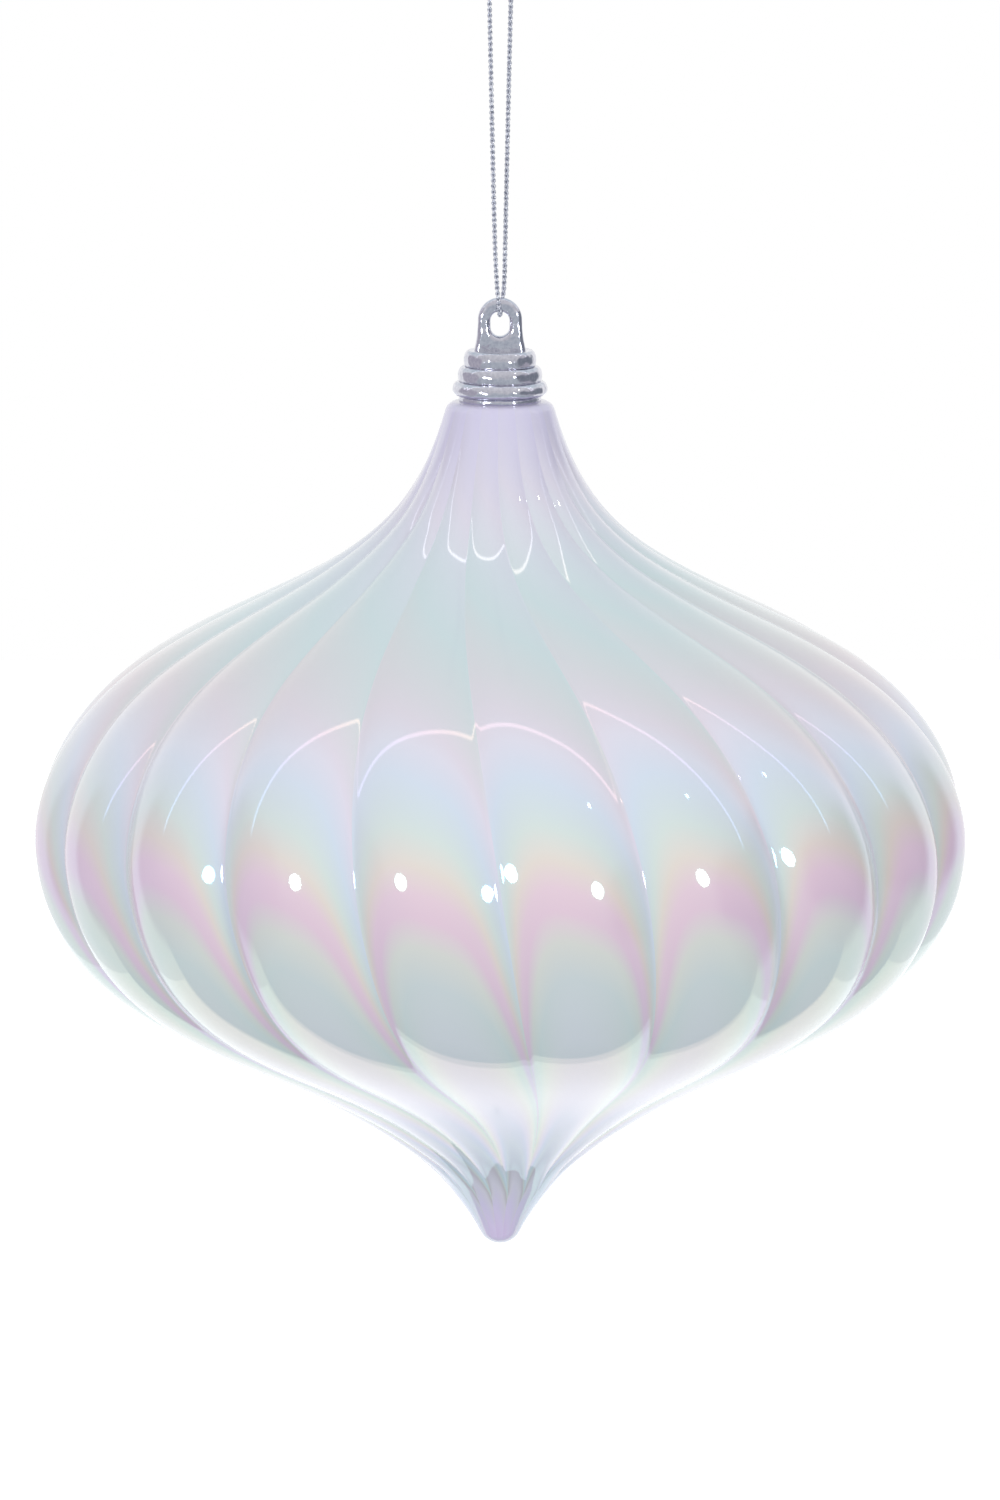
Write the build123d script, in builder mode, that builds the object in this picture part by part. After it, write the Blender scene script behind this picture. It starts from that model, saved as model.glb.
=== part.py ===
"""Onion-shaped hanging ornament with twisted flutes, a stepped cap with an eyelet, and a cord loop.

Frame: millimetres, +Z up. The origin is the inside top of the cord loop, where a hook carries it,
so the ornament hangs below it on the Z axis. The eyelet is flat in the XZ plane: its hole runs
along Y, and the ornament swings about the piece of cord in that hole.
"""

from build123d import *
import os
from math import asin, cos, degrees, hypot, pi, radians, sin, tan

# ---------------------------------------------------------------- driving dimensions (mm, degrees)
body_width = 200.0  # across the crests of the flutes at the belly
body_height = 183.0  # from the tip to the flat ring that the cap stands on
belly_height = 90.0  # from the tip to the widest ring of the body
shell_wall = 1.3  # blown wall, measured square to the surface

lobe_count = 20  # rounded lobes between the flute valleys
flute_depth = 3.7  # crest to valley at the belly
flute_lean = 9.2  # slope of the flutes away from the body's meridians
front_turn = 0.5  # how far the front valley stands from the -Y meridian at the belly
tip_fade = 6.0  # height over which the flutes die out above the tip cone
neck_fade = 21.0  # height over which the flutes die out below the shoulder
straight_neck = 34.0  # length under the shoulder where the flutes lose their lean

tip_cone_height = 13.5  # plain cone under the flutes
tip_cone_radius = 11.8
tip_cone_lean = 39.0  # slope of the cone's upper edge away from the Z axis
tip_end_radius = 4.8  # rounded end of the cone
tip_flat_radius = 0.8  # small flat on the very end
tip_end_lean = 27.0  # slope of the cone where its rounded end begins

shoulder_radius = 11.6  # body radius at the lower edge of the rounded shoulder
shoulder_lean = 16.7  # inward slope of the body where the shoulder begins
shoulder_round = 2.4  # rounding between the body and the flat ring under the cap
spigot_radius = 7.0  # neck tube that stands up inside the cap
spigot_height = 5.6
spigot_wall = 1.4

step_reaches = (1.4, 2.7, 1.55, 0.3)  # the cap's lip and three rings beyond its bore, bottom up
step_heights = (1.3, 3.0, 3.2, 3.4)
upper_insets = (0.5, 1.3, 1.2, 1.1)  # how far each bulging step draws in at its upper edge
lower_insets = (0.2, 1.2, 0.35, 0.35)
widest_share = 0.42  # share of a step's height at which it is widest
glue_gap = 0.4  # adhesive between the spigot and the cap's bore
glue_foot = 1.0  # bare height of the spigot below the adhesive
bore_clearance = 0.4  # free height above the spigot inside the cap

tongue_height = 11.2  # eyelet tongue above the cap's top ring
tongue_top_radius = 4.7
tongue_foot_half_width = 5.5
tongue_foot_lean = 14.0  # inward slope of the tongue's sides at its foot
tongue_thickness = 3.0
tongue_round_share = 0.41  # rounding of its front and back edges, as a share of its thickness
eyelet_width = 4.0
eyelet_height = 5.2
eyelet_bar = 3.0  # bridge of the tongue above the eyelet hole

cord_diameter = 1.1
cord_gap = 0.12  # free space between the cord and the eyelet's bar
strand_gap = 0.37  # free space between each strand and the tongue's flat side
hang_drop = 82.0  # from the inside top of the loop to the cord's line in the eyelet
loop_half_width = 2.5  # from the middle of the loop to each strand's line under its top
eyelet_bend = 1.1  # how far the route cuts each corner round the eyelet's bar
hook_bend = 1.45  # how far it cuts each corner round the hook
knot_radius = 1.7
knot_length = 4.6
knot_drop = 6.3  # from the inside top of the loop to the middle of the knot
knot_back = 0.45  # the knot stands this far behind the middle
cord_end_depth = 0.25  # length of each cord end inside the knot

points_per_lobe = 4
curves_per_section = 4  # each spans a whole number of lobes
foot_margin = 0.01  # edges of the tongue this close to its foot are not rounded

# ---------------------------------------------------------------- sizes that follow from them
cord_radius = cord_diameter / 2
eyelet_top_z = -hang_drop + cord_radius + cord_gap
eyelet_middle_z = eyelet_top_z - eyelet_height / 2
tongue_top_z = eyelet_top_z + eyelet_bar
tongue_arc_z = tongue_top_z - tongue_top_radius
cap_top_z = tongue_top_z - tongue_height
cap_base_z = cap_top_z - sum(step_heights)
tip_z = cap_base_z - body_height
belly_z = tip_z + belly_height
belly_radius = body_width / 2
cone_z = tip_z + tip_cone_height
shoulder_z = cap_base_z - shoulder_round * (1 - sin(radians(shoulder_lean)))
spigot_top_z = cap_base_z + spigot_height
bore_radius = spigot_radius + glue_gap
strand_y = tongue_thickness / 2 + cord_radius + strand_gap
knot_low_z = -knot_drop - knot_length / 2
knot_high_z = -knot_drop + knot_length / 2

# ---------------------------------------------------------------- outline of the crests
# Each point gives the share of the way from the end of its curve to the belly, in radius and height.
lower_shares = [(0.125, 0.127), (0.245, 0.218), (0.470, 0.353), (0.742, 0.512), (0.910, 0.685)]
upper_shares = [(0.062, 0.150), (0.133, 0.248), (0.252, 0.342), (0.628, 0.531), (0.882, 0.719)]


def lean_vector(lean):
    """Direction that rises at a lean in degrees away from the Z axis, as (radius, height)."""
    return (sin(radians(lean)), cos(radians(lean)))


def crest_points(shares, end_radius, end_z):
    """Outline points between an end of the outline and the belly, as (radius, height)."""
    return [
        (end_radius + across * (belly_radius - end_radius), end_z + along * (belly_z - end_z))
        for across, along in shares
    ]


with BuildLine():
    tip_start = degrees(asin(tip_flat_radius / tip_end_radius)) - 90
    tip_arc = CenterArc(
        (0, tip_z + tip_end_radius), tip_end_radius, tip_start, -tip_end_lean - tip_start
    )
    cone_line = Spline(
        tip_arc @ 1,
        (tip_cone_radius, cone_z),
        tangents=[lean_vector(tip_end_lean), lean_vector(tip_cone_lean)],
    )
    lower_line = Spline(
        cone_line @ 1,
        *crest_points(lower_shares, tip_cone_radius, cone_z),
        (belly_radius, belly_z),
        tangents=[lean_vector(tip_cone_lean), lean_vector(0)],
    )
    upper_line = Spline(
        lower_line @ 1,
        *reversed(crest_points(upper_shares, shoulder_radius, shoulder_z)),
        (shoulder_radius, shoulder_z),
        tangents=[lean_vector(0), lean_vector(-shoulder_lean)],
    )
    shoulder_arc = JernArc(
        upper_line @ 1, lean_vector(-shoulder_lean), shoulder_round, 90 - shoulder_lean
    )
outline_sections = [(tip_arc, 4), (cone_line, 3), (lower_line, 13), (upper_line, 13)]
outline_sections += [(shoulder_arc, 4)]


def smooth_step(value):
    """Rises smoothly from 0 to 1 as the value goes from 0 to 1, and stays level outside that."""
    value = min(max(value, 0.0), 1.0)
    return value * value * (3 - 2 * value)


def lobe_depth(radius, z):
    """Crest-to-valley depth: in proportion to the radius, dying out at the cone and the shoulder."""
    fade = smooth_step((z - cone_z) / tip_fade) * smooth_step((shoulder_z - z) / neck_fade)
    return flute_depth * radius / belly_radius * fade


def trace_sections(wall):
    """Sections (crest radius, height, turn, depth), set in from the crests' outline by a wall.

    From one section to the next a valley turns by tan(lean) x step / radius, which keeps its slope
    on the surface constant. The lean dies out up the neck, and the plain cone has none.
    """
    places = [(curve, i / count) for curve, count in outline_sections for i in range(count)]
    places.append((shoulder_arc, 1.0))
    points = [curve @ share for curve, share in places]
    slopes = [curve % share for curve, share in places]
    turns = [0.0]
    for low, high in zip(points, points[1:]):
        step = hypot(high.X - low.X, high.Y - low.Y)
        lean = flute_lean * smooth_step((shoulder_z - high.Y) / straight_neck) * (high.Y > cone_z)
        turns.append(turns[-1] + tan(radians(lean)) * step / ((low.X + high.X) / 2))
    belly_turn = turns[places.index((upper_line, 0.0))]
    sections = []
    for point, slope, turn in zip(points, slopes, turns):
        angle = radians(front_turn) + belly_turn - turn
        radius = point.X - wall * slope.Y
        z = point.Y + wall * slope.X
        sections.append((radius, z, angle, lobe_depth(point.X, point.Y)))
    return sections


def lobed_ring(radius, angle, depth):
    """Points round one section: each lobe falls from its crest as the square of the way out."""
    points = []
    for step in range(lobe_count * points_per_lobe + 1):
        way_out = 2 * (step % points_per_lobe) / points_per_lobe - 1
        around = angle + radians(360 / lobe_count) * step / points_per_lobe
        reach = radius - depth * way_out**2
        points.append((reach * sin(around), -reach * cos(around)))
    return points


def draw_section(radius, angle, depth):
    """Draws one section as curves that meet in flute valleys, so that lofts keep their turn."""
    points = lobed_ring(radius, angle, depth)
    stretch = len(points) // curves_per_section
    for first in range(0, len(points) - 1, stretch):
        Spline(*points[first : first + stretch + 1])


# ---------------------------------------------------------------- shell
# One blown, hollow body: the fluted onion, its plain tip cone and the neck tube under the cap.
with BuildPart() as shell:
    for crest_radius, section_z, turn, depth in trace_sections(0):
        with BuildSketch(Plane.XY.offset(section_z)):
            with BuildLine():
                draw_section(crest_radius, turn, depth)
            make_face()
    loft()
    with BuildSketch(Plane.XY.offset(cap_base_z - shell_wall)):
        Circle(spigot_radius)
    extrude(amount=shell_wall + spigot_height)
    with BuildSketch(Plane.XY.offset(spigot_top_z)):
        Circle(spigot_radius - spigot_wall)
    extrude(amount=-spigot_height - 2 * shell_wall, mode=Mode.SUBTRACT)
    for inner_radius, section_z, turn, depth in trace_sections(shell_wall):
        with BuildSketch(Plane.XY.offset(section_z)):
            with BuildLine():
                draw_section(inner_radius, turn, depth)
            make_face()
    loft(mode=Mode.SUBTRACT)
shell.part.label = "shell"

# ---------------------------------------------------------------- cap
# One metallised moulding: a lip, three stacked rings, a bore for the spigot and the eyelet tongue.
with BuildPart() as cap:
    step_z = cap_base_z
    for reach, height, lower, upper in zip(step_reaches, step_heights, lower_insets, upper_insets):
        radius = bore_radius + reach
        widest_z = step_z + widest_share * height
        with BuildSketch(Plane.XZ):
            with BuildLine():
                low_bulge = EllipticalCenterArc(
                    (radius - lower, widest_z), lower, widest_z - step_z, -90, arc_size=90
                )
                high_bulge = EllipticalCenterArc(
                    (radius - upper, widest_z), upper, step_z + height - widest_z, 0, arc_size=90
                )
                Polyline(high_bulge @ 1, (0, step_z + height), (0, step_z), low_bulge @ 0)
            make_face()
        revolve()
        step_z += height
    with BuildSketch(Plane.XZ):
        with BuildLine():
            foot = Line((-tongue_foot_half_width, cap_top_z), (tongue_foot_half_width, cap_top_z))
            right_side = Spline(
                foot @ 1,
                (tongue_top_radius, tongue_arc_z),
                tangents=[lean_vector(-tongue_foot_lean), lean_vector(0)],
            )
            top_arc = CenterArc((0, tongue_arc_z), tongue_top_radius, 0, 180)
            Spline(
                top_arc @ 1,
                foot @ 0,
                tangents=[lean_vector(180), lean_vector(180 + tongue_foot_lean)],
            )
        make_face()
        with Locations((0, eyelet_middle_z)):
            SlotOverall(eyelet_height, eyelet_width, rotation=90, mode=Mode.SUBTRACT)
    extrude(amount=tongue_thickness / 2, both=True)
    tongue_faces = cap.faces().filter_by(Axis.Y).filter_by(lambda f: f.center().Z > cap_top_z)
    tongue_edges = tongue_faces.edges().filter_by(lambda e: e.center().Z > cap_top_z + foot_margin)
    fillet(tongue_edges, tongue_round_share * tongue_thickness)
    with Locations((0, 0, cap_base_z)):
        Cylinder(
            bore_radius,
            spigot_height + bore_clearance,
            align=(Align.CENTER, Align.CENTER, Align.MIN),
            mode=Mode.SUBTRACT,
        )
cap.part.label = "cap"

# ---------------------------------------------------------------- adhesive ring
with BuildPart() as adhesive_ring:
    with BuildSketch(Plane.XY.offset(cap_base_z + glue_foot)):
        Circle(bore_radius)
        Circle(spigot_radius, mode=Mode.SUBTRACT)
    extrude(amount=spigot_height - glue_foot)
adhesive_ring.part.label = "adhesive_ring"

# ---------------------------------------------------------------- cord loop
# From the knot's lower end down the back strand, under the eyelet's bar, up the front strand, over
# the hook and back into the knot's upper end.
back_strand = [
    (loop_half_width, knot_back, knot_low_z + cord_end_depth),
    (2.3, 0.55, -14.0),
    (1.1, strand_y - 0.2, 16 - hang_drop),
    (0.95, strand_y, 6 - hang_drop),
    (0.3, strand_y, eyelet_bend - hang_drop),
]
eyelet_run = [
    (0.05, strand_y - eyelet_bend, -hang_drop),
    (-0.05, eyelet_bend - strand_y, -hang_drop),
]
front_strand = [
    (-0.15, -strand_y, eyelet_bend - hang_drop),
    (-0.8, -strand_y, 8 - hang_drop),
    (-1.25, 0.3 - strand_y, 20 - hang_drop),
    (-2.4, -0.6, -7.6),
]
hook_run = [
    (-loop_half_width, -0.5, cord_radius - hook_bend),
    (hook_bend - loop_half_width, -0.2, cord_radius),
    (loop_half_width - hook_bend, 0.2, cord_radius),
    (loop_half_width, knot_back, cord_radius - hook_bend),
    (loop_half_width, knot_back, knot_high_z - cord_end_depth),
]
cord_points = back_strand + eyelet_run + front_strand + hook_run
run_share = 0.45  # share of the shorter run that each arc takes


def route_radii(points):
    """Largest arc that fits each corner: 0.45 of the shorter run over tan(half the turn)."""
    vectors = [Vector(*b) - Vector(*a) for a, b in zip(points, points[1:])]
    return [
        run_share * min(a.length, b.length) / tan(radians(a.get_angle(b) / 2))
        for a, b in zip(vectors, vectors[1:])
    ]


cord_radii = route_radii(cord_points)
print("cord radii (mm):", [round(radius, 1) for radius in cord_radii])
with BuildPart() as cord_loop:
    with BuildLine() as cord_path:
        FilletPolyline(*cord_points, radius=cord_radii)
    with BuildSketch(Plane(cord_path.wire() @ 0, z_dir=cord_path.wire() % 0)):
        Circle(cord_radius)
    sweep()
cord_loop.part.label = "cord_loop"
cord_length = cord_path.wire().length
cord_fill = cord_loop.part.volume / (pi * cord_radius**2 * cord_length)
print("cord length (mm):", round(cord_length, 2), "volume over section x length:", round(cord_fill, 4))

# ---------------------------------------------------------------- cord knot
# A turned barrel that stands for the knot that joins the cord's two ends.
with BuildPart() as cord_knot:
    with BuildSketch(Plane.XZ.offset(-knot_back)):
        with BuildLine():
            knot_side = Spline(
                (loop_half_width + cord_radius, knot_low_z),
                (loop_half_width + knot_radius, -knot_drop),
                (loop_half_width + cord_radius, knot_high_z),
            )
            Polyline(
                knot_side @ 1,
                (loop_half_width, knot_high_z),
                (loop_half_width, knot_low_z),
                knot_side @ 0,
            )
        make_face()
    revolve(axis=Axis((loop_half_width, knot_back, 0), (0, 0, 1)))
cord_knot.part.label = "cord_knot"

os.makedirs("parts", exist_ok=True)
for piece in (shell, cap, adhesive_ring, cord_loop, cord_knot):
    export_step(piece.part, f"parts/{piece.part.label}.step")
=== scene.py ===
"""Looks of the onion-shaped hanging ornament: pearl fluted shell, silver cap, metallic cord.

Everything is in metres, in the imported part's frame: the origin is the inside top of the cord loop
and the ornament hangs below it on the Z axis.
"""

import math

import bpy
import numpy as np
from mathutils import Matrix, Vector


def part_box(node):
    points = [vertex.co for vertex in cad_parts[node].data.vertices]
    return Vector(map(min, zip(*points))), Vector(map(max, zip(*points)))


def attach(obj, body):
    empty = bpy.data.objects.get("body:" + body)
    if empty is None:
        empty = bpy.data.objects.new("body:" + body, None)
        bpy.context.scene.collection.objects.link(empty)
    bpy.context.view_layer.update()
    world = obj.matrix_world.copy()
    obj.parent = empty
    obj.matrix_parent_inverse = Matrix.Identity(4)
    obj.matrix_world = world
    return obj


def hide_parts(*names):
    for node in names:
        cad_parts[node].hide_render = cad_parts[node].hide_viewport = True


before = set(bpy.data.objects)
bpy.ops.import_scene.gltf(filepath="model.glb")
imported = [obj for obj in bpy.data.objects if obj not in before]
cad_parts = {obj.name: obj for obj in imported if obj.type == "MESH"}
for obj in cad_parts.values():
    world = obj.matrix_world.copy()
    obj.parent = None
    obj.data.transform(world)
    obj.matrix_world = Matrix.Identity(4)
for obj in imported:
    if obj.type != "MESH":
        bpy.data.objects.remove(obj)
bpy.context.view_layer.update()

MM = 0.001

# ---------------------------------------------------------------- places read from the frame
shell_low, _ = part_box("shell")
cap_low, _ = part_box("cap")
knot_low, knot_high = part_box("cord_knot")
tip_z = shell_low.z
cap_base_z = cap_low.z
knot_middle = (knot_low + knot_high) / 2

# ---------------------------------------------------------------- sizes of the shell (metres)
BODY_RADIUS = 100.0 * MM
BELLY_Z = tip_z + 90.0 * MM
LOBES = 20
FLUTE_DEPTH = 3.7 * MM
FLUTE_LEAN = math.radians(9.2)
FRONT_TURN = math.radians(0.5)
TIP_FADE = 6.0 * MM
NECK_FADE = 21.0 * MM
STRAIGHT_NECK = 34.0 * MM
CONE_Z = tip_z + 13.5 * MM
CONE_RADIUS = 11.8 * MM
CONE_LEAN = math.radians(39.0)
TIP_END_RADIUS = 4.8 * MM
TIP_END_LEAN = math.radians(27.0)
SHOULDER_RADIUS = 11.6 * MM
SHOULDER_LEAN = math.radians(16.7)
SHOULDER_ROUND = 2.4 * MM
SHOULDER_Z = cap_base_z - SHOULDER_ROUND * (1 - math.sin(SHOULDER_LEAN))
SPIGOT_RADIUS = 7.0 * MM
SPIGOT_HEIGHT = 5.6 * MM
LOWER_SHARES = [(0.125, 0.127), (0.245, 0.218), (0.470, 0.353), (0.742, 0.512), (0.910, 0.685)]
UPPER_SHARES = [(0.062, 0.150), (0.133, 0.248), (0.252, 0.342), (0.628, 0.531), (0.882, 0.719)]

# The cord's route, point by point as the part has it, from the knot's lower end round to its upper.
CORD_POINTS = [
    (2.5, 0.45, -8.35),
    (2.3, 0.55, -14.0),
    (1.1, 2.22, -66.0),
    (0.95, 2.42, -76.0),
    (0.3, 2.42, -80.9),
    (0.05, 1.32, -82.0),
    (-0.05, -1.32, -82.0),
    (-0.15, -2.42, -80.9),
    (-0.8, -2.42, -74.0),
    (-1.25, -2.12, -62.0),
    (-2.4, -0.6, -7.6),
    (-2.5, -0.5, -0.9),
    (-1.05, -0.2, 0.55),
    (1.05, 0.2, 0.55),
    (2.5, 0.45, -0.9),
    (2.5, 0.45, -4.25),
]


# ================================================================ camera
VIEW_RISE = math.radians(9.6)  # the camera looks down by this much
VIEW_DISTANCE = 1.927  # from the middle of the belly
BELLY_BELOW_AXIS = math.radians(0.52)  # the belly's middle lies this far under the view's axis
FOCAL_LENGTH = 216.0

belly_middle = Vector((0, 0, BELLY_Z))
sight = VIEW_RISE + BELLY_BELOW_AXIS
camera_place = belly_middle + VIEW_DISTANCE * Vector((0, -math.cos(sight), math.sin(sight)))
camera_data = bpy.data.cameras.new("camera")
camera_data.lens = FOCAL_LENGTH
camera_data.clip_end = 50
camera = bpy.data.objects.new("camera", camera_data)
camera.location = camera_place
camera.rotation_euler = (math.pi / 2 - VIEW_RISE, 0, 0)
bpy.context.scene.collection.objects.link(camera)
bpy.context.scene.camera = camera
bpy.context.scene.view_settings.view_transform = "Standard"


# ================================================================ mesh helpers
def new_mesh(name, points, faces):
    """Makes a smooth-shaded mesh object at the origin from point and face arrays."""
    mesh = bpy.data.meshes.new(name)
    mesh.from_pydata(np.asarray(points, float).tolist(), [], [list(face) for face in faces])
    mesh.polygons.foreach_set("use_smooth", [True] * len(mesh.polygons))
    mesh.update()
    piece = bpy.data.objects.new(name, mesh)
    bpy.context.scene.collection.objects.link(piece)
    return piece


def grid_faces(rows, columns, start=0):
    """Quads of a grid of rows x columns points whose rows close into rings."""
    row, column = np.meshgrid(np.arange(rows - 1), np.arange(columns), indexing="ij")
    after = (column + 1) % columns
    corners = (row * columns + column, row * columns + after,
               (row + 1) * columns + after, (row + 1) * columns + column)
    return (start + np.stack(corners, -1).reshape(-1, 4)).tolist()


def cap_ends(faces, rows, columns, low_pole, high_pole):
    """Adds fans that close the first and the last ring of a grid to two pole points."""
    last = (rows - 1) * columns
    for column in range(columns):
        after = (column + 1) % columns
        faces.append((low_pole, after, column))
        faces.append((high_pole, last + column, last + after))
    return faces


def smooth_step(value):
    """Rises smoothly from 0 to 1 as the value goes from 0 to 1."""
    value = np.clip(value, 0.0, 1.0)
    return value * value * (3 - 2 * value)


def lean_vector(angle):
    """Direction that rises at this angle away from the Z axis, as (radius, height)."""
    return np.array((math.sin(angle), math.cos(angle)))


def clamped_spline(points, first, last, count):
    """Cubic spline through points with unit end slopes, sampled at count even steps of its chord.

    The chord lengths are the parameter. The slopes m at the points solve the usual continuity
    equations, and each span is the Hermite cubic between its two points and slopes.
    """
    points = np.asarray(points, float)
    chord = np.linalg.norm(np.diff(points, axis=0), axis=1)
    knots = np.concatenate([[0], np.cumsum(chord)])
    size = len(points)
    matrix, right = np.eye(size), np.zeros_like(points)
    right[0], right[-1] = first, last
    rise = np.diff(points, axis=0) / chord[:, None]
    for k in range(1, size - 1):
        matrix[k, k - 1 : k + 2] = chord[k], 2 * (chord[k - 1] + chord[k]), chord[k - 1]
        right[k] = 3 * (chord[k] * rise[k - 1] + chord[k - 1] * rise[k])
    slopes = np.linalg.solve(matrix, right)
    place = np.linspace(0, knots[-1], count)
    span = np.clip(np.searchsorted(knots, place, side="right") - 1, 0, size - 2)
    t = ((place - knots[span]) / chord[span])[:, None]
    width = chord[span][:, None]
    return (
        (2 * t**3 - 3 * t**2 + 1) * points[span]
        + (t**3 - 2 * t**2 + t) * width * slopes[span]
        + (3 * t**2 - 2 * t**3) * points[span + 1]
        + (t**3 - t**2) * width * slopes[span + 1]
    )


# ================================================================ material helpers
def new_material(name):
    """An empty node material; returns it with its tree and its Principled shader."""
    material = bpy.data.materials.new(name)
    material.use_nodes = True
    tree = material.node_tree
    return material, tree, tree.nodes["Principled BSDF"]


def node(tree, kind, inputs=None, **settings):
    """Adds a node, sets its properties and fills or links its inputs by name or number."""
    made = tree.nodes.new(kind)
    for key, value in settings.items():
        setattr(made, key, value)
    for key, value in (inputs or {}).items():
        if isinstance(value, bpy.types.NodeSocket):
            tree.links.new(value, made.inputs[key])
        else:
            made.inputs[key].default_value = value
    return made


def sums(tree, operation, *values):
    """Output of a Math node."""
    return node(tree, "ShaderNodeMath", dict(enumerate(values)), operation=operation).outputs[0]


def ramp(tree, value, stops, interpolation="LINEAR"):
    """Output colour of a ColorRamp with stops (position, (r, g, b))."""
    made = node(tree, "ShaderNodeValToRGB", {"Fac": value})
    band = made.color_ramp
    band.interpolation = interpolation
    while len(band.elements) < len(stops):
        band.elements.new(0.5)
    for element, (position, colour) in zip(band.elements, stops):
        element.position = position
        element.color = (*colour, 1)
    return made.outputs["Color"]


def blend(tree, share, first, second, way="MIX"):
    """Output colour of a Mix node. Its colour sockets come after its number and vector sockets."""
    return node(tree, "ShaderNodeMix", {0: share, 6: first, 7: second},
                data_type="RGBA", blend_type=way).outputs[2]


def fade(tree, value, zero_at, one_at):
    """Output that goes from 0 to 1 as the value goes from one number to the other."""
    return node(tree, "ShaderNodeMapRange",
                {"Value": value, 1: zero_at, 2: one_at, 3: 0.0, 4: 1.0}).outputs[0]


def display(red, green, blue):
    """Linear colour of a display colour given from 0 to 255, by the usual sRGB curve."""
    shares = np.array((red, green, blue)) / 255
    curved = ((shares + 0.055) / 1.055) ** 2.4
    return tuple(np.where(shares <= 0.04045, shares / 12.92, curved))


# ================================================================ cord
def cord_line():
    """Points of the smooth line: a NURBS curve of order 3 with the route as its controls."""
    curve = bpy.data.curves.new("cord_route", "CURVE")
    curve.dimensions = "3D"
    spline = curve.splines.new("NURBS")
    spline.points.add(len(CORD_POINTS) - 1)
    for point, place in zip(spline.points, CORD_POINTS):
        point.co = (*(MM * np.array(place)), 1)
    spline.order_u = 3
    spline.use_endpoint_u = True
    spline.resolution_u = 64
    route = bpy.data.objects.new("cord_route", curve)
    bpy.context.scene.collection.objects.link(route)
    mesh = bpy.data.meshes.new_from_object(route)
    points = np.zeros(len(mesh.vertices) * 3)
    mesh.vertices.foreach_get("co", points)
    bpy.data.objects.remove(route)
    bpy.data.meshes.remove(mesh)
    return points.reshape(-1, 3)


def even_steps(line, count):
    """The same line at count points, evenly spaced along its length."""
    lengths = np.concatenate([[0], np.cumsum(np.linalg.norm(np.diff(line, axis=0), axis=1))])
    places = np.linspace(0, lengths[-1], count)
    return np.stack([np.interp(places, lengths, line[:, axis]) for axis in range(3)], 1)


def carried_frames(line):
    """Tangents and two normals at each point, carried along the line without twist."""
    tangents = np.gradient(line, axis=0)
    tangents /= np.linalg.norm(tangents, axis=1)[:, None]
    normals = np.zeros_like(tangents)
    normal = np.cross(tangents[0], (0.3, 1.0, 0.2))
    for k, tangent in enumerate(tangents):
        normal = normal - tangent * (normal @ tangent)
        normal /= np.linalg.norm(normal)
        normals[k] = normal
    return tangents, normals, np.cross(tangents, normals)


def tube(line, radius, sides):
    """Points and faces of a closed round tube along a line; its ends close to points."""
    _, normals, sides_on = carried_frames(line)
    angle = np.linspace(0, 2 * math.pi, sides, endpoint=False)
    ring = normals[:, None] * np.cos(angle)[None, :, None]
    ring = ring + sides_on[:, None] * np.sin(angle)[None, :, None]
    points = (line[:, None] + ring * radius).reshape(-1, 3)
    faces = grid_faces(len(line), sides)
    faces = cap_ends(faces, len(line), sides, len(points), len(points) + 1)
    return np.concatenate([points, line[:1], line[-1:]]), faces


BRAID_STRANDS = 4
BRAID_PITCH = 2.4 * MM  # length in which a strand goes once round the cord
STRAND_RADIUS = 0.21 * MM
STRAND_REACH = 0.29 * MM  # mean distance of a strand's middle from the cord's line
STRAND_WEAVE = 0.05 * MM  # how far it goes out and in where strands cross
CORE_RADIUS = 0.26 * MM
CORE_STEPS = 500
KNOT_REACH = 0.42 * MM  # scale of the knot's trefoil
KNOT_STRETCH = 1.35  # how much taller than wide the knot is
KNOT_DEPTH = 1.1  # its share of depth
KNOT_YARN_RADIUS = 0.5 * MM
TAIL_YARN_RADIUS = 0.42 * MM
TAIL_START = 0.6 * MM  # distance of a tail's start from the knot's middle
TAIL_REACH = 2.8 * MM
TAIL_START_DROP = 0.2 * MM
TAIL_DROP = 2.6 * MM
TAIL_BACK = 0.8 * MM


def braid(line, steps_per_pitch=18, sides=5):
    """Round braid along a line: half the strands turn one way and half the other.

    A strand stands off the line by reach + weave x cos(crossings x turn), at an angle that grows
    evenly with length, so that strands of the two sets pass over and under each other by turns.
    """
    length = np.linalg.norm(np.diff(line, axis=0), axis=1).sum()
    line = even_steps(line, int(length / BRAID_PITCH * steps_per_pitch))
    _, normals, sides_on = carried_frames(line)
    turn = np.linspace(0, 2 * math.pi * length / BRAID_PITCH, len(line))
    points, faces, count = [], [], 0
    pairs = BRAID_STRANDS // 2
    for strand in range(BRAID_STRANDS):
        way = 1 if strand % 2 else -1
        start = 2 * math.pi * (strand // 2) / pairs
        angle = way * turn + start
        reach = STRAND_REACH + way * STRAND_WEAVE * np.cos(pairs * (turn + way * start))
        off = normals * np.cos(angle)[:, None] + sides_on * np.sin(angle)[:, None]
        strand_points, strand_faces = tube(line + off * reach[:, None], STRAND_RADIUS, sides)
        faces += [tuple(index + count for index in face) for face in strand_faces]
        points.append(strand_points)
        count += len(strand_points)
    return np.concatenate(points), faces


def overhand_knot():
    """Line of the tied knot, about its middle.

    The knot is the trefoil (sin t + 2 sin 2t, cos t - 2 cos 2t, -sin 3t), stood on edge.
    """
    t = np.linspace(0, 2 * math.pi, 160, endpoint=False)
    across = (np.sin(t) + 2 * np.sin(2 * t)) * KNOT_REACH
    up = (np.cos(t) - 2 * np.cos(2 * t)) * KNOT_REACH * KNOT_STRETCH
    out = -np.sin(3 * t) * KNOT_REACH * KNOT_DEPTH
    return np.stack([across, out, up], 1) + np.array(knot_middle)


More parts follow.
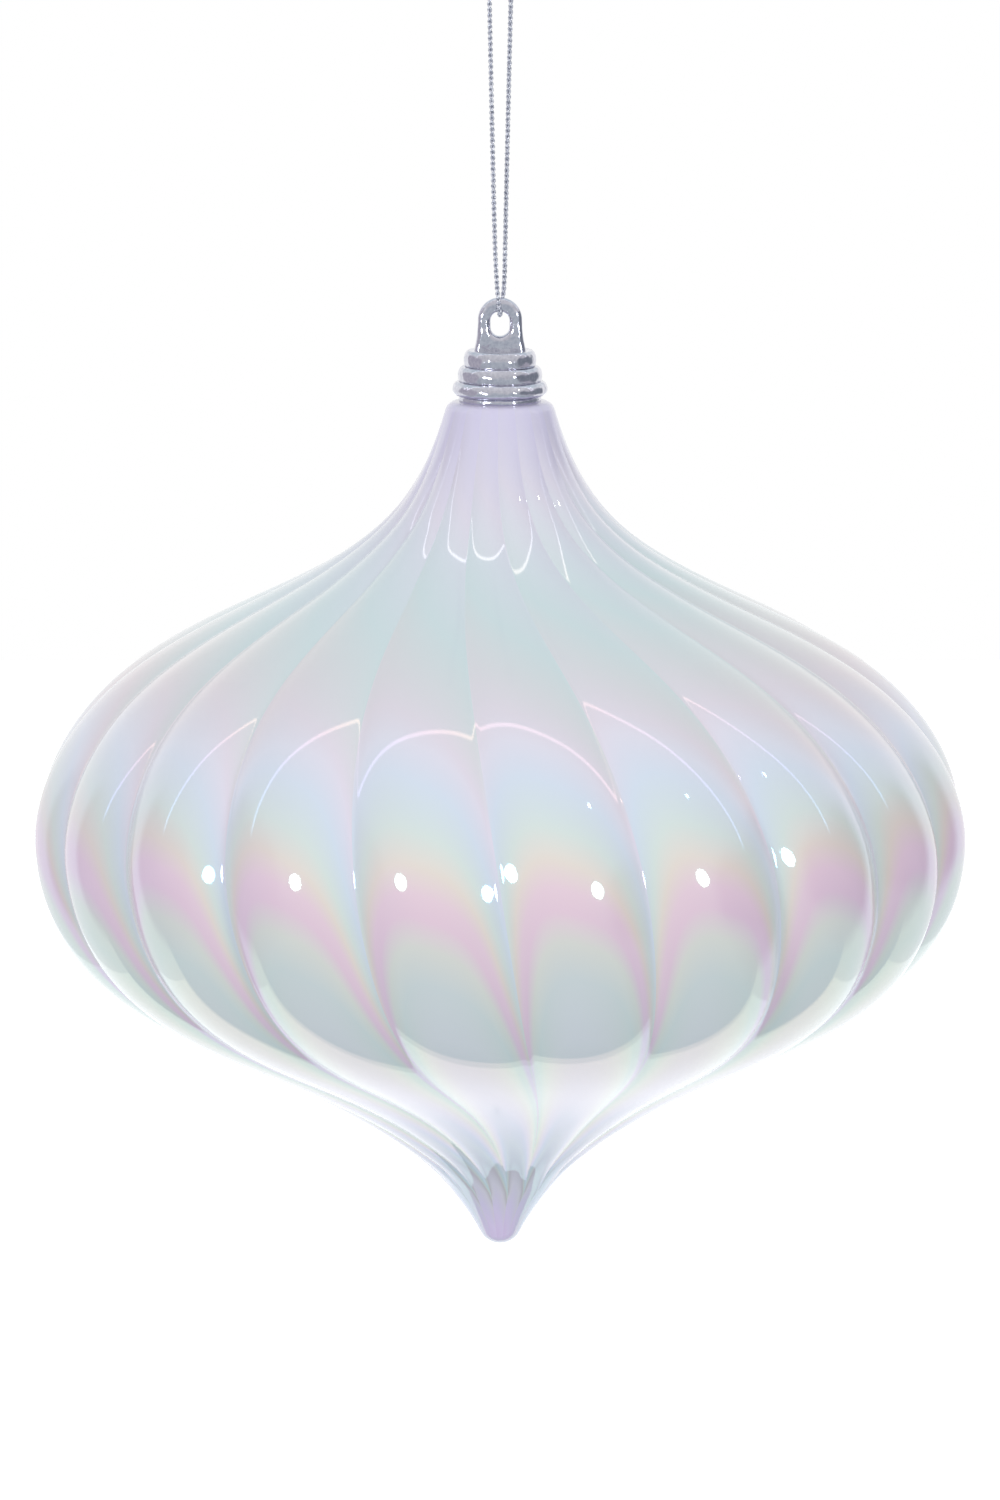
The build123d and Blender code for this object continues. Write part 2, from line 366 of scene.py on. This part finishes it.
def knot_tail(side):
    """Line of a short free end that leaves the knot evenly sideways and drops as t squared."""
    t = np.linspace(0, 1, 24)
    across = side * (TAIL_START + TAIL_REACH * t)
    down = -(TAIL_START_DROP + TAIL_DROP * t**2)
    back = side * TAIL_BACK * t
    return np.stack([across, back, down], 1) + np.array(knot_middle)


def joined(parts):
    """One set of points and faces out of several."""
    points, faces, count = [], [], 0
    for part_points, part_faces in parts:
        faces += [tuple(index + count for index in face) for face in part_faces]
        points.append(part_points)
        count += len(part_points)
    return np.concatenate(points), faces


def metallic_thread():
    """Silver metallised yarn with fine glints along each strand."""
    material, tree, shader = new_material("metallic_thread")
    place = node(tree, "ShaderNodeTexCoord").outputs["Object"]
    glint = node(tree, "ShaderNodeTexNoise", {"Vector": place, "Scale": 2600.0, "Detail": 2.0})
    fibre = node(tree, "ShaderNodeTexNoise", {"Vector": place, "Scale": 9000.0, "Detail": 1.0})
    colour = ramp(tree, glint.outputs["Fac"],
                  [(0.30, display(150, 152, 166)), (0.5, display(212, 214, 224)),
                   (0.68, display(250, 250, 252))])
    bump = node(tree, "ShaderNodeBump",
                {"Height": fibre.outputs["Fac"], "Strength": 0.35, "Distance": 0.05 * MM})
    tree.links.new(colour, shader.inputs["Base Color"])
    tree.links.new(bump.outputs["Normal"], shader.inputs["Normal"])
    shader.inputs["Metallic"].default_value = 0.6
    shader.inputs["Roughness"].default_value = 0.32
    return material


def core_yarn():
    """Dark matt yarn inside the braid, seen between its strands."""
    material, tree, shader = new_material("core_yarn")
    place = node(tree, "ShaderNodeTexCoord").outputs["Object"]
    fibre = node(tree, "ShaderNodeTexNoise", {"Vector": place, "Scale": 5000.0, "Detail": 2.0})
    colour = ramp(tree, fibre.outputs["Fac"],
                  [(0.35, display(96, 98, 112)), (0.65, display(150, 152, 166))])
    tree.links.new(colour, shader.inputs["Base Color"])
    shader.inputs["Roughness"].default_value = 0.7
    return material


route_line = cord_line()
cord = new_mesh("cord_braid", *braid(route_line))
core = new_mesh("cord_core", *tube(even_steps(route_line, CORE_STEPS), CORE_RADIUS, 8))
knot_line = overhand_knot()
knot_points, knot_faces = joined(
    [tube(np.concatenate([knot_line, knot_line[:1]]), KNOT_YARN_RADIUS, 10)]
    + [tube(knot_tail(side), TAIL_YARN_RADIUS, 10) for side in (-1, 1)]
)
knot = new_mesh("cord_knot_tied", knot_points, knot_faces)
thread = metallic_thread()
core.data.materials.append(core_yarn())
for piece in (cord, knot):
    piece.data.materials.append(thread)
for piece in (cord, core, knot):
    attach(piece, "cord")
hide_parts("cord_loop")
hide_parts("cord_knot")


# ================================================================ shell
LOBE_COLUMNS = 36
VALLEY_ROUND = 0.07  # share of a half lobe that the rounded bottom of a valley takes
COLUMN_CROWDING = 0.7  # how much closer the columns stand at the valleys
RIPPLE = 0.10 * MM  # depth of the blown surface's slow unevenness
RIPPLE_LENGTH = 9.0 * MM
RIPPLES_AROUND = 27


def crest_outline():
    """Outline of the crests from the tip to the cap's seat, as rows of (radius, height).

    It is the tip's round end, the cone, the two splines of the belly and the rounded shoulder.
    """
    def from_end(shares, end_radius, end_z):
        return [
            (end_radius + across * (BODY_RADIUS - end_radius), end_z + along * (BELLY_Z - end_z))
            for across, along in shares
        ]

    turn = np.linspace(-math.pi / 2, -TIP_END_LEAN, 10)[1:]
    tip = np.stack([np.cos(turn), 1 + np.sin(turn)], 1) * TIP_END_RADIUS + (0, tip_z)
    belly = (BODY_RADIUS, BELLY_Z)
    cone_end, shoulder = (CONE_RADIUS, CONE_Z), (SHOULDER_RADIUS, SHOULDER_Z)
    cone = clamped_spline(
        [tip[-1], cone_end], lean_vector(TIP_END_LEAN), lean_vector(CONE_LEAN), 8
    )
    lower = clamped_spline(
        [cone_end, *from_end(LOWER_SHARES, *cone_end), belly],
        lean_vector(CONE_LEAN), lean_vector(0), 44,
    )
    upper = clamped_spline(
        [belly, *from_end(UPPER_SHARES, *shoulder)[::-1], shoulder],
        lean_vector(0), lean_vector(-SHOULDER_LEAN), 46,
    )
    turn = np.linspace(SHOULDER_LEAN, math.pi / 2, 8)
    centre = np.array(shoulder) - SHOULDER_ROUND * np.array(
        (math.cos(SHOULDER_LEAN), math.sin(SHOULDER_LEAN))
    )
    edge = np.stack([np.cos(turn), np.sin(turn)], 1) * SHOULDER_ROUND + centre
    seat = [(SPIGOT_RADIUS, cap_base_z), (SPIGOT_RADIUS, cap_base_z + SPIGOT_HEIGHT)]
    return np.concatenate([tip, cone[1:], lower[1:], upper[1:], edge[1:], seat])


def fluted_shell():
    """The blown shell: the crest outline turned round Z, with a valley between every two lobes.

    At a place w across a lobe, from -1 to 1, the radius is crest - depth x f(w). f is w squared,
    and near the valleys it turns into a parabola whose top is the valley's rounded bottom. The
    valleys turn about Z by tan(lean) x step / radius for each step along the outline. The surface
    dips unevenly by up to a tenth of a millimetre, as the product of two sines of turn and height.
    """
    outline = crest_outline()
    radius, height = outline[:, 0], outline[:, 1]
    step = np.linalg.norm(np.diff(outline, axis=0), axis=1)
    lean = FLUTE_LEAN * smooth_step((SHOULDER_Z - height[1:]) / STRAIGHT_NECK)
    lean = lean * (height[1:] > CONE_Z + 1e-6)
    turn = np.concatenate([[0], np.cumsum(np.tan(lean) * step * 2 / (radius[1:] + radius[:-1]))])
    turn = FRONT_TURN + turn[np.argmax(radius)] - turn
    fluted = smooth_step((height - CONE_Z) / TIP_FADE)
    fluted = fluted * smooth_step((SHOULDER_Z - height) / NECK_FADE)
    depth = FLUTE_DEPTH * radius / BODY_RADIUS * fluted

    t = np.linspace(0, 1, LOBE_COLUMNS, endpoint=False)
    w = 2 * (t - COLUMN_CROWDING * np.sin(2 * math.pi * t) / (2 * math.pi)) - 1
    inner = np.abs(w) < 1 - VALLEY_ROUND
    rounded = 1 - VALLEY_ROUND - (1 - VALLEY_ROUND) / VALLEY_ROUND * (1 - np.abs(w)) ** 2
    fall = np.tile(np.where(inner, w**2, rounded), LOBES)
    around = (np.repeat(np.arange(LOBES), LOBE_COLUMNS) + np.tile((w + 1) / 2, LOBES)) / LOBES
    angle = turn[:, None] + 2 * math.pi * around[None]
    reach = radius[:, None] - depth[:, None] * fall[None]
    level = height[:, None] / RIPPLE_LENGTH
    swell = np.sin(RIPPLES_AROUND * angle + 1.3 * np.sin(level))
    swell = swell * np.sin(2 * level + np.sin(5 * angle))
    reach = reach - RIPPLE * (1 + swell) / 2 * fluted[:, None]
    rings = np.stack(
        [reach * np.sin(angle), -reach * np.cos(angle), np.repeat(height[:, None], len(fall), 1)],
        -1,
    )
    rows, columns = len(outline), len(fall)
    poles = [(0, 0, tip_z), (0, 0, height[-1])]
    faces = cap_ends(grid_faces(rows, columns), rows, columns, rows * columns, rows * columns + 1)
    piece = new_mesh("fluted_shell", np.concatenate([rings.reshape(-1, 3), poles]), faces)
    mark_places(piece, around, height, rows, columns)
    return piece


def mark_places(piece, around, height, rows, columns):
    """UV map of the shell: U is the share of the way round it, V its share of the height.

    A face that crosses the seam has its low U raised by one, so that no face spans the map.
    """
    share = (height - tip_z) / (cap_base_z - tip_z)
    u = np.concatenate([np.tile(around, rows), [0, 0]])
    v = np.concatenate([np.repeat(share, columns), [0, share[-1]]])
    loops = np.zeros(len(piece.data.loops), int)
    piece.data.loops.foreach_get("vertex_index", loops)
    loop_u = u[loops]
    starts = np.zeros(len(piece.data.polygons), int)
    sizes = np.zeros(len(piece.data.polygons), int)
    piece.data.polygons.foreach_get("loop_start", starts)
    piece.data.polygons.foreach_get("loop_total", sizes)
    owner = np.repeat(np.arange(len(sizes)), sizes)
    largest = np.maximum.reduceat(loop_u, starts)
    loop_u = np.where((largest[owner] > 0.9) & (loop_u < 0.1), loop_u + 1, loop_u)
    layer = piece.data.uv_layers.new(name="flutes")
    layer.data.foreach_set("uv", np.stack([loop_u, v[loops]], 1).ravel())


# Base colour of the white plastic with the film's pastel sheen painted in as tints (painted
# reflection colours), by the film's order: from the tip (0) up to the neck (1).
PEARL_SHEEN_TINTS = [
    (0.044, display(236, 219, 255)),
    (0.082, display(240, 225, 243)),
    (0.12, display(218, 200, 208)),
    (0.148, display(228, 227, 219)),
    (0.187, display(218, 236, 233)),
    (0.26, display(226, 246, 248)),
    (0.34, display(230, 244, 250)),
    (0.41, display(220, 234, 238)),
    (0.455, display(230, 231, 228)),
    (0.49, display(243, 210, 230)),
    (0.515, display(246, 213, 228)),
    (0.545, display(244, 226, 214)),
    (0.58, display(232, 236, 224)),
    (0.63, display(226, 234, 238)),
    (0.69, display(230, 226, 234)),
    (0.78, display(212, 230, 234)),
    (0.90, display(230, 222, 232)),
    (1.00, display(220, 214, 236)),
]
FILM_AT_TIP = 440.0  # nanometres
FILM_FALL = 425.0  # how much thinner the film is at the neck
BAND_ARCH = 0.38  # how far the bands drop from a lobe's middle to its valleys at the tip
ARCH_FALL = 0.50  # how fast that drop dies out up the body
ARCH_STARTS = (0.05, 0.15)  # shares of the height between which the arches set in above the tip
BAND_SLANT = 0.03  # how far they drop from a lobe's one side to the other


def pearl_shell():
    """Glossy white plastic under a pearl film, whose thickness grows evenly towards the tip.

    The film's order is the height's share h, plus (arch - fall x h) x |w| cubed + slant x w at a
    place w across a lobe, plus a slow drift, so its pastel bands arch over every lobe. The arches
    set in above the smooth tip. The order sets the film's thickness and the base colour, into
    which the film's pastel sheen is painted as tints of the plastic.
    """
    material, tree, shader = new_material("pearl_shell")
    uv = node(tree, "ShaderNodeUVMap", uv_map="flutes").outputs["UV"]
    place = node(tree, "ShaderNodeTexCoord").outputs["Object"]
    split = node(tree, "ShaderNodeSeparateXYZ", {"Vector": uv})
    lobe = sums(tree, "FRACT", sums(tree, "MULTIPLY", split.outputs["X"], float(LOBES)))
    across = sums(tree, "MULTIPLY_ADD", lobe, 2.0, -1.0)
    arch = sums(tree, "POWER", sums(tree, "ABSOLUTE", across), 3.0)
    drop = sums(tree, "MULTIPLY_ADD", split.outputs["Y"], -ARCH_FALL, BAND_ARCH)
    drop = sums(tree, "MULTIPLY", sums(tree, "MAXIMUM", drop, 0.0),
                fade(tree, split.outputs["Y"], *ARCH_STARTS))
    order = sums(tree, "MULTIPLY_ADD", arch, drop, split.outputs["Y"])
    order = sums(tree, "MULTIPLY_ADD", across, BAND_SLANT, order)
    cloud = node(tree, "ShaderNodeTexNoise", {"Vector": place, "Scale": 14.0, "Detail": 2.0})
    drift = sums(tree, "MULTIPLY_ADD", cloud.outputs["Fac"], 0.05, -0.025)
    order = sums(tree, "ADD", order, drift)
    # Painted pearl sheen: the film's pastel reflection colours go into the base colour here.
    tree.links.new(ramp(tree, order, PEARL_SHEEN_TINTS), shader.inputs["Base Color"])
    thickness = sums(tree, "MULTIPLY_ADD", order, -FILM_FALL, FILM_AT_TIP)
    tree.links.new(sums(tree, "MAXIMUM", thickness, 10.0), shader.inputs["Thin Film Thickness"])
    shader.inputs["Thin Film IOR"].default_value = 1.8
    shader.inputs["IOR"].default_value = 1.5
    shader.inputs["Roughness"].default_value = 0.05
    shader.inputs["Coat Weight"].default_value = 0.5
    shader.inputs["Coat Roughness"].default_value = 0.02
    return material


shell = fluted_shell()
shell.data.materials.append(pearl_shell())
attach(shell, "ornament")
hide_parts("shell")


# ================================================================ cap
def silver_plate():
    """Vacuum-metallised plastic: a grey-lilac mirror with fine moulding waves and pits."""
    material, tree, shader = new_material("silver_plate")
    place = node(tree, "ShaderNodeTexCoord").outputs["Object"]
    wave = node(tree, "ShaderNodeTexNoise", {"Vector": place, "Scale": 300.0, "Detail": 1.0})
    pits = node(tree, "ShaderNodeTexNoise", {"Vector": place, "Scale": 1500.0, "Detail": 1.0})
    height = sums(tree, "MULTIPLY_ADD", pits.outputs["Fac"], 0.08, wave.outputs["Fac"])
    bump = node(tree, "ShaderNodeBump", {"Height": height, "Strength": 1.0, "Distance": 0.45 * MM})
    colour = ramp(tree, pits.outputs["Fac"],
                  [(0.3, display(206, 206, 217)), (0.7, display(224, 224, 232))])
    tree.links.new(colour, shader.inputs["Base Color"])
    tree.links.new(bump.outputs["Normal"], shader.inputs["Normal"])
    shader.inputs["Metallic"].default_value = 1.0
    shader.inputs["Roughness"].default_value = 0.1
    return material


def set_adhesive():
    """Clear yellowish glue, slightly cloudy."""
    material, tree, shader = new_material("set_adhesive")
    place = node(tree, "ShaderNodeTexCoord").outputs["Object"]
    cloud = node(tree, "ShaderNodeTexNoise", {"Vector": place, "Scale": 900.0, "Detail": 3.0})
    colour = ramp(tree, cloud.outputs["Fac"],
                  [(0.35, display(206, 198, 170)), (0.65, display(230, 226, 208))])
    tree.links.new(colour, shader.inputs["Base Color"])
    shader.inputs["Roughness"].default_value = 0.35
    return material


for node_name, material in (("cap", silver_plate()), ("adhesive_ring", set_adhesive())):
    cad_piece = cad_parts[node_name]
    cad_piece.data.materials.clear()
    cad_piece.data.materials.append(material)


# ================================================================ stage and light
FLOOR_DROP = 0.35
FLOOR_FRONT = 0.15  # where the floor's front edge lies behind the ornament
FLOOR_HALF_WIDTH = 0.5
FLOOR_BACK = 3.0
FLOOR_GLOW = 0.56
SIDE_LAMP_TURN = math.radians(36.6)
SIDE_LAMP_RISE = math.radians(9.6)
SIDE_LAMP_DISTANCE = 1.1
SIDE_LAMP_DIAMETER = 0.2
SIDE_LAMP_POWER = 2.4


def white_floor():
    """Plain white floor sheet that starts a little behind the ornament."""
    z = tip_z - FLOOR_DROP
    half = FLOOR_HALF_WIDTH
    points = [(-half, FLOOR_FRONT, z), (half, FLOOR_FRONT, z),
              (half, FLOOR_BACK, z), (-half, FLOOR_BACK, z)]
    floor = new_mesh("floor", points, [(0, 1, 2, 3)])
    material, tree, shader = new_material("white_floor")
    shader.inputs["Base Color"].default_value = (0.9, 0.9, 0.9, 1)
    shader.inputs["Emission Color"].default_value = (1, 1, 1, 1)
    shader.inputs["Emission Strength"].default_value = FLOOR_GLOW
    shader.inputs["Roughness"].default_value = 1.0
    shader.inputs["Specular IOR Level"].default_value = 0.0
    floor.data.materials.append(material)
    return floor


def studio_world():
    """Room by direction: white behind the ornament, blue grey in front, darker at its sides.

    Y of a direction is how far it points behind the ornament. The white begins 7 degrees behind
    overhead, under a narrow bright rim, and 25 degrees behind straight down. A dark panel stands
    at the right. Seen directly, the whole room is white.
    """
    world = bpy.data.worlds.new("studio")
    world.use_nodes = True
    tree = world.node_tree
    background = tree.nodes["Background"]
    direction = node(tree, "ShaderNodeTexCoord").outputs["Generated"]
    split = node(tree, "ShaderNodeSeparateXYZ", {"Vector": direction})
    side, rise = split.outputs["X"], split.outputs["Z"]
    level = sums(tree, "MULTIPLY_ADD", rise, 0.5, 0.5)
    upper = sums(tree, "MULTIPLY", sums(tree, "MAXIMUM", rise, 0.0), -0.123)
    lower = sums(tree, "MULTIPLY", sums(tree, "MINIMUM", rise, 0.0), 0.466)
    behind = sums(tree, "ADD", split.outputs["Y"], sums(tree, "ADD", upper, lower))
    front = ramp(tree, level, [(0.0, (0.46, 0.50, 0.54)), (0.45, (0.52, 0.56, 0.60)),
                               (0.62, (0.64, 0.64, 0.66)), (1.0, (0.78, 0.78, 0.80))])
    back = ramp(tree, level, [(0.0, (0.95, 0.97, 1.0)), (0.6, (1.0, 1.0, 1.0)),
                              (0.85, (0.66, 0.74, 0.79)), (1.0, (0.60, 0.70, 0.75))])
    share = node(tree, "ShaderNodeClamp", {"Value": sums(tree, "MULTIPLY_ADD", behind, 60.0, 0.5)})
    room = blend(tree, share.outputs[0], front, back)
    far_aside = fade(tree, sums(tree, "ABSOLUTE", side), 0.78, 0.86)
    above = fade(tree, rise, 0.55, 0.35)
    below = fade(tree, rise, -0.90, -0.75)
    wall = sums(tree, "MULTIPLY", far_aside, sums(tree, "MULTIPLY", above, below))
    room = blend(tree, wall, room, (0.50, 0.48, 0.54, 1))
    at_level = fade(tree, sums(tree, "ABSOLUTE", rise), 0.40, 0.25)
    right = fade(tree, side, 0.68, 0.84)
    room = blend(tree, sums(tree, "MULTIPLY", right, at_level), room, (0.24, 0.26, 0.30, 1))
    rim = sums(tree, "MULTIPLY", fade(tree, sums(tree, "ABSOLUTE", behind), 0.022, 0.008),
               fade(tree, rise, 0.3, 0.4))
    room = blend(tree, rim, room, (2.6, 2.5, 2.7, 1))
    seen = node(tree, "ShaderNodeLightPath").outputs["Is Camera Ray"]
    tree.links.new(blend(tree, seen, room, (1, 1, 1, 1)), background.inputs["Color"])
    bpy.context.scene.world = world


def round_lamp(name, turn, rise, distance, diameter, power, colour):
    """Round soft lamp aimed at the belly, at a turn from the view's direction and a rise."""
    light = bpy.data.lights.new(name, "AREA")
    light.shape = "DISK"
    light.size = diameter
    light.energy = power
    light.color = colour
    lamp = bpy.data.objects.new(name, light)
    level = math.cos(rise)
    away = Vector((math.sin(turn) * level, -math.cos(turn) * level, math.sin(rise)))
    lamp.location = belly_middle + distance * away
    lamp.rotation_euler = away.to_track_quat("Z", "Y").to_euler()
    bpy.context.scene.collection.objects.link(lamp)


white_floor()
studio_world()
for lamp_name, side in (("lamp_left", -1), ("lamp_right", 1)):
    round_lamp(lamp_name, side * SIDE_LAMP_TURN, SIDE_LAMP_RISE, SIDE_LAMP_DISTANCE,
               SIDE_LAMP_DIAMETER, SIDE_LAMP_POWER, (0.92, 0.95, 1.0))
round_lamp("lamp_top", math.radians(60), math.radians(50), 1.6, 0.06, 0.25, (1.0, 1.0, 1.0))
